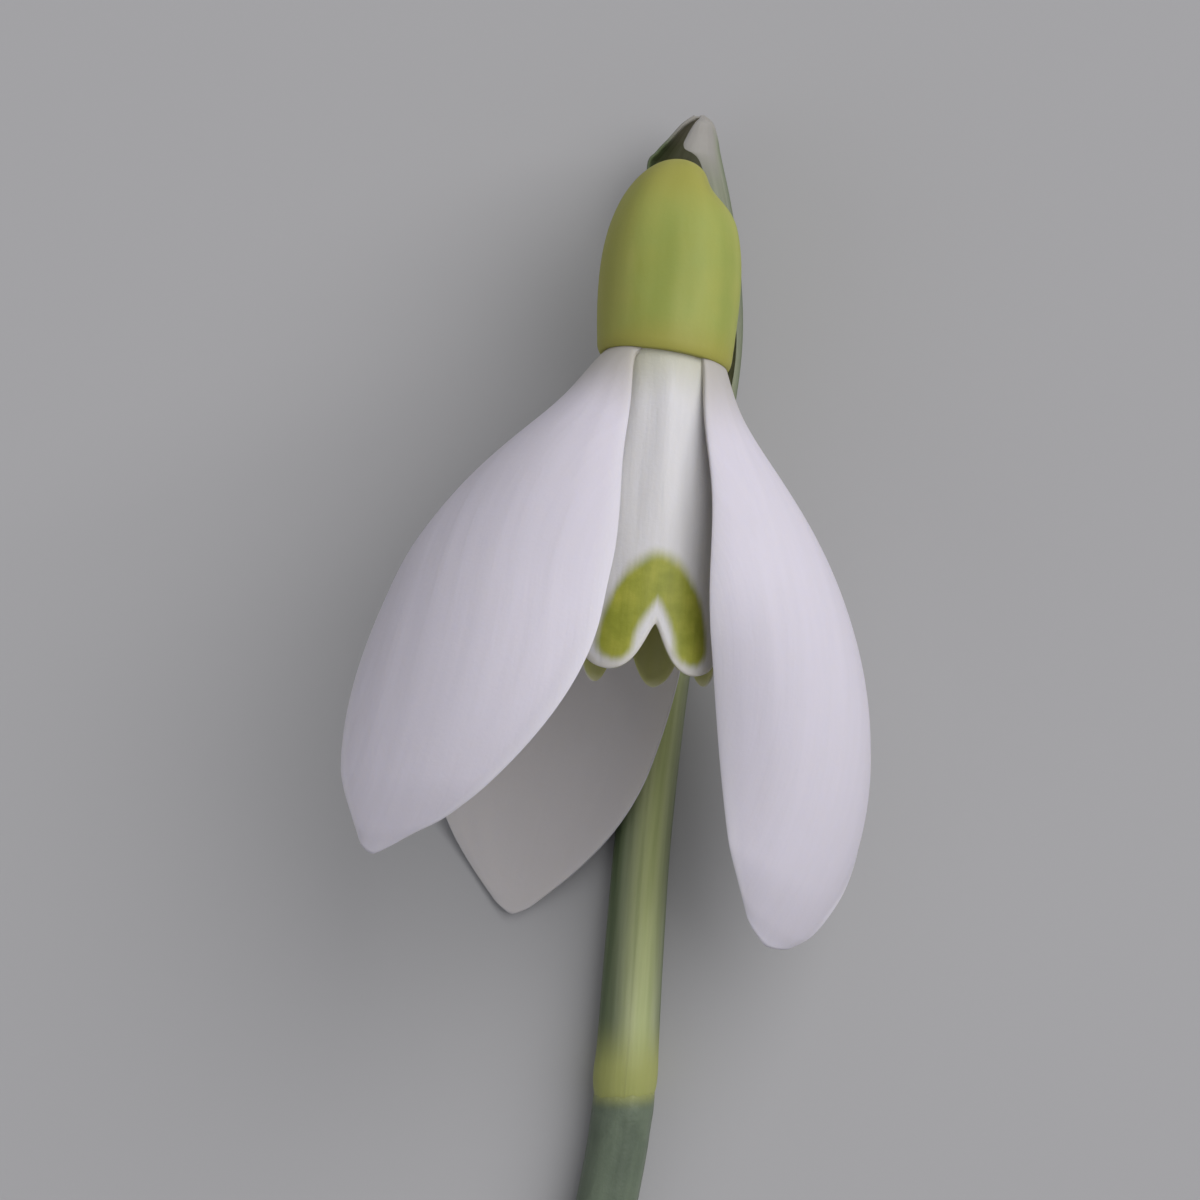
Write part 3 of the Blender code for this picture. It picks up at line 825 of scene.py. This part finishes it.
def make_stamens(material):
    """A short pale filament and a long grooved anther that runs to a point."""
    low = STAMEN_TOP - FILAMENT_LENGTH
    stations = [
        (FILAMENT_RADIUS, STAMEN_TOP + STAMEN_ROOT), (FILAMENT_RADIUS, STAMEN_TOP - 0.4),
        (FILAMENT_RADIUS * 0.9, low + 0.1), (ANTHER_RADIUS * 0.9, low - 0.2),
        (ANTHER_RADIUS, low - 0.8), (ANTHER_RADIUS * 0.97, low - 0.45 * ANTHER_LENGTH),
        (ANTHER_RADIUS * 0.58, low - 0.75 * ANTHER_LENGTH),
        (ANTHER_RADIUS * 0.16, low - 0.93 * ANTHER_LENGTH), (0.0, low - ANTHER_LENGTH)]
    for k in range(STAMEN_COUNT):
        azimuth = math.radians(STAMEN_START + 360.0 * k / STAMEN_COUNT)
        local = rod_grid(stations, 24, ANTHER_LOBES, ANTHER_GROOVE)
        pale = smooth((local[..., 2] - low + 0.1) / 0.25)
        grid = local @ turn_y(-STAMEN_TILT).T + np.array([STAMEN_RING, 0, 0])
        verts, faces = capped_tube(from_head(grid @ turn_z(-azimuth).T))
        masks = dict(pale=ring_mask(pale, [1, 0]))
        new_piece(f"anther_{k + 1}", verts, [f[::-1] for f in faces], masks, material,
                  f"stamen_{k + 1}")


def turn_y(angle):
    """A turn about y."""
    c, s = math.cos(angle), math.sin(angle)
    return np.array([[c, 0, s], [0, 1, 0], [-s, 0, c]])


def turn_z(angle):
    """A turn about z."""
    c, s = math.cos(angle), math.sin(angle)
    return np.array([[c, -s, 0], [s, c, 0], [0, 0, 1]])


def make_style(material):
    """A slender rod that narrows to its tip."""
    low = STAMEN_TOP - STYLE_LENGTH
    stations = [
        (STYLE_RADIUS * 0.8, STAMEN_TOP + STAMEN_ROOT), (STYLE_RADIUS, STAMEN_TOP - 1.5),
        (STYLE_RADIUS, low + 2.0), (STYLE_RADIUS * 0.7, low + 0.6),
        (STYLE_RADIUS * 0.45, low + 0.1), (0.0, low)]
    grid = rod_grid(stations, 20)
    verts, faces = capped_tube(from_head(grid))
    masks = dict(pale=ring_mask(smooth((low + 2.0 - grid[..., 2]) / 1.5), [0, 1]))
    new_piece("style_rod", verts, [f[::-1] for f in faces], masks, material, "style")


# ---------------------------------------------------------------- stalks
def make_sheath(material):
    """The spathe: two keels with a thin membrane, open under the flower, hooded above."""
    rings = catmull(SHEATH_SPINE, 16)
    s = np.linspace(-1, 1, SHEATH_COLUMNS)[None, :]
    radius, under = rings[:, 2], rings[:, 3]
    opening = np.where(s < 0, rings[:, 4:5], rings[:, 5:6])
    y = rings[:, 1:2]
    # The left and right edges stand open, or closed on the top; only the flap goes past it.
    opening = np.maximum(opening, np.where(y > FLAP_START, -FLAP_TURN, 0))
    turn = s * np.radians(180 - opening)
    grid = np.stack([rings[:, :1] + radius[:, None] * np.sin(turn), y + 0 * turn,
                     (under + radius + SHEATH_THICKNESS / 2)[:, None]
                     - radius[:, None] * np.cos(turn)], -1)
    under_flower = smooth((y - UNDER_FLOWER) / 8.0)
    keel_left = bump_at(turn, LEFT_KEEL_AT + 0.7 * under_flower, LEFT_KEEL_SPREAD)
    right_keel_and_shade = bump_at(turn, RIGHT_KEEL_AT - 0.15 * under_flower, RIGHT_KEEL_SPREAD)
    # painted shade: the right keel darkens more under the flower, for the shade on the sheath's
    # right side
    right_keel_and_shade = right_keel_and_shade * (0.65 + 0.35 * under_flower)
    off_top = np.where(turn > 0, np.pi - turn, -np.pi - turn)
    pedicel_band_and_painted_light = bump_at(off_top, BRIGHT_AT, BRIGHT_SPREAD) * (1 - under_flower)
    # painted light: the band is kept fullest just below the flower, where the flower's shadow
    # falls, and dimmer towards the node
    pedicel_band_and_painted_light = pedicel_band_and_painted_light * (0.75 + 0.25 * smooth((y + 14.0) / 5.0))
    tip = smooth((y - HOOD_START) / 0.7)
    right_side = smooth((y - PAPER_START) / 1.8) * smooth((turn - 1.85) / 0.45)
    paper = np.maximum(0.9 * tip, right_side)
    keel_and_shade = np.clip(keel_left + right_keel_and_shade, 0, 1)
    relief = SHEATH_KEEL_RELIEF * keel_and_shade + SHEATH_RIB_RELIEF * np.cos(turn * SHEATH_RIB_COUNT)
    lips = np.sqrt(np.clip(1.02 - np.abs(s) ** 12 * smooth((y + 1.0) / 4.0), 0, 1))
    thickness = SHEATH_THICKNESS * (0.45 + 0.55 * keel_and_shade) * lips
    verts, faces = thick_sheet(grid, thickness, relief * smooth((y + 17.2) / 1.5))
    zero = 0 * turn
    masks = dict(turn=both_sides(np.abs(turn)), t=both_sides(y / SHEATH_SPAN + zero),
                 keel_and_shade=both_sides(keel_and_shade * (1 - tip)), pedicel_band_and_painted_light=both_sides(pedicel_band_and_painted_light),
                 yellow=both_sides(0.9 * smooth((NODE_END - y) / 2.2) + zero),
                 paper=both_sides(paper))
    sheath = new_piece("sheath", verts, faces, masks, material, "spathe")
    sheath.data.set_sharp_from_angle(angle=SHARP_EDGE)


def stalk_piece(name, node, rings, sides, material, yellow_at, cut_at_start=False):
    """A tube with fine lengthwise ribs; yellow_at gives the yellow mask along it.  A cut
    start gets a flat face with a ring of vessels."""
    turn = np.linspace(0, 2 * np.pi, sides, endpoint=False)
    ribs = 1 + sum(high * np.cos(count * turn + start) for count, start, high in STALK_RIBS)
    grid = tube_grid(rings[:, :3], rings[:, 3], sides, ribs)
    t = np.linspace(0, 1, len(rings))[:, None] * len(rings) / 40
    inset = np.ones((len(rings), 1))
    if cut_at_start:
        steps = CUT_RINGS[:, None]
        middle = grid[0].mean(0)
        outward = CUT_DOME * unit(middle - grid[1].mean(0))
        face = middle + outward + steps[..., None] * (grid[0] - middle)
        grid, t = np.concatenate([face, grid]), np.concatenate([0 * steps, t])
        inset = np.concatenate([steps, inset])
    verts, faces = capped_tube(grid)
    flat = 0 * turn[None, :]
    vessels = bump_at(inset, VESSEL_RING, VESSEL_SPREAD)
    vessels = vessels * smooth(np.cos(VESSEL_COUNT * turn[None, :]) - 0.2)
    masks = dict(turn=ring_mask(np.abs(turn / np.pi - 1)[None, :] + 0 * t, [0, 0]),
                 t=ring_mask(t + flat, [0, 1]),
                 yellow=ring_mask(yellow_at(grid[..., 1]), [0, 0]),
                 cut=ring_mask(smooth((1 - inset) / 0.06) * (1 - 0.6 * vessels) + flat,
                               [1.0 if cut_at_start else 0.0, 0]))
    stalk = new_piece(name, verts, [f[::-1] for f in faces], masks, material, node)
    stalk.data.set_sharp_from_angle(angle=SHARP_EDGE)


def make_stalks():
    """The scape, yellower at its node, and the pedicel, yellower towards the ovary."""
    scape = np.array(SCAPE_PATH)
    height = np.maximum(scape[:, 2], SCAPE_HEIGHT)
    scape = np.column_stack([scape[:, :2], height, scape[:, 2]])
    stalk_piece("main_stalk", "scape", catmull(scape, 16), SCAPE_SIDES,
                stalk_material("scape_skin", (0.10, 0.13, 0.09), (0.155, 0.195, 0.135),
                               NODE_YELLOW),
                lambda y: 0.9 * smooth((y + 17.7) / 0.8), cut_at_start=True)
    stalk_piece("flower_stalk", "pedicel", catmull(PEDICEL_PATH, 14),
                PEDICEL_SIDES,
                stalk_material("pedicel_skin", (0.25, 0.31, 0.075), (0.35, 0.40, 0.12),
                               (0.38, 0.38, 0.10)),
                lambda y: 0.5 * smooth((y - 12.0) / 2.0))


# ---------------------------------------------------------------- stage
def make_floor():
    """The pale surface the flower lies on."""
    mesh = bpy.data.meshes.new("floor")
    side = FLOOR_REACH
    mesh.from_pydata([(-side, -side, 0), (side, -side, 0), (side, side, 0), (-side, side, 0)],
                     [], [(0, 1, 2, 3)])
    made = bpy.data.materials.new("floor_pale")
    made.use_nodes = True
    shader = made.node_tree.nodes["Principled BSDF"]
    shader.inputs["Base Color"].default_value = FLOOR_COLOR
    shader.inputs["Roughness"].default_value = 0.9
    shader.inputs["Specular IOR Level"].default_value = 0.1
    mesh.materials.append(made)
    floor = bpy.data.objects.new("floor", mesh)
    bpy.context.scene.collection.objects.link(floor)


def area_light(name, off, size, power, color):
    """A round light so many metres off the point it shines at."""
    aim = to_frame(LIGHT_AIM)
    at = aim + np.array(off)
    data = bpy.data.lights.new(name, "AREA")
    data.shape = "DISK"
    data.size = size
    data.energy = power
    data.color = color
    lamp = bpy.data.objects.new(name, data)
    lamp.location = at
    lamp.rotation_euler = (Vector(aim) - Vector(at)).to_track_quat("-Z", "Y").to_euler()
    bpy.context.scene.collection.objects.link(lamp)


def make_lights():
    """A broad soft key from the upper right, a faint fill from the left, a pale world."""
    area_light("key", KEY_AT, KEY_SIZE, KEY_POWER, KEY_COLOR)
    area_light("fill", FILL_AT, FILL_SIZE, FILL_POWER, FILL_COLOR)
    world = bpy.data.worlds.new("pale_room")
    world.use_nodes = True
    background = world.node_tree.nodes["Background"]
    background.inputs["Color"].default_value = WORLD_COLOR
    background.inputs["Strength"].default_value = WORLD_STRENGTH
    bpy.context.scene.world = world


def make_camera():
    """The camera looks straight down."""
    data = bpy.data.cameras.new("camera")
    data.lens = CAMERA_LENS
    data.sensor_width = CAMERA_SENSOR
    data.clip_start, data.clip_end = CAMERA_CLIP
    camera = bpy.data.objects.new("camera", data)
    camera.location = to_frame(CAMERA_AT)
    bpy.context.scene.collection.objects.link(camera)
    bpy.context.scene.camera = camera


make_outer_tepals(petal_material())
make_inner_tepals(inner_material())
make_ovary(ovary_material())
make_stamens(anther_material())
make_style(style_material())
make_sheath(sheath_material())
make_stalks()
make_floor()
make_lights()
make_camera()
bpy.context.scene.view_settings.view_transform = "Standard"
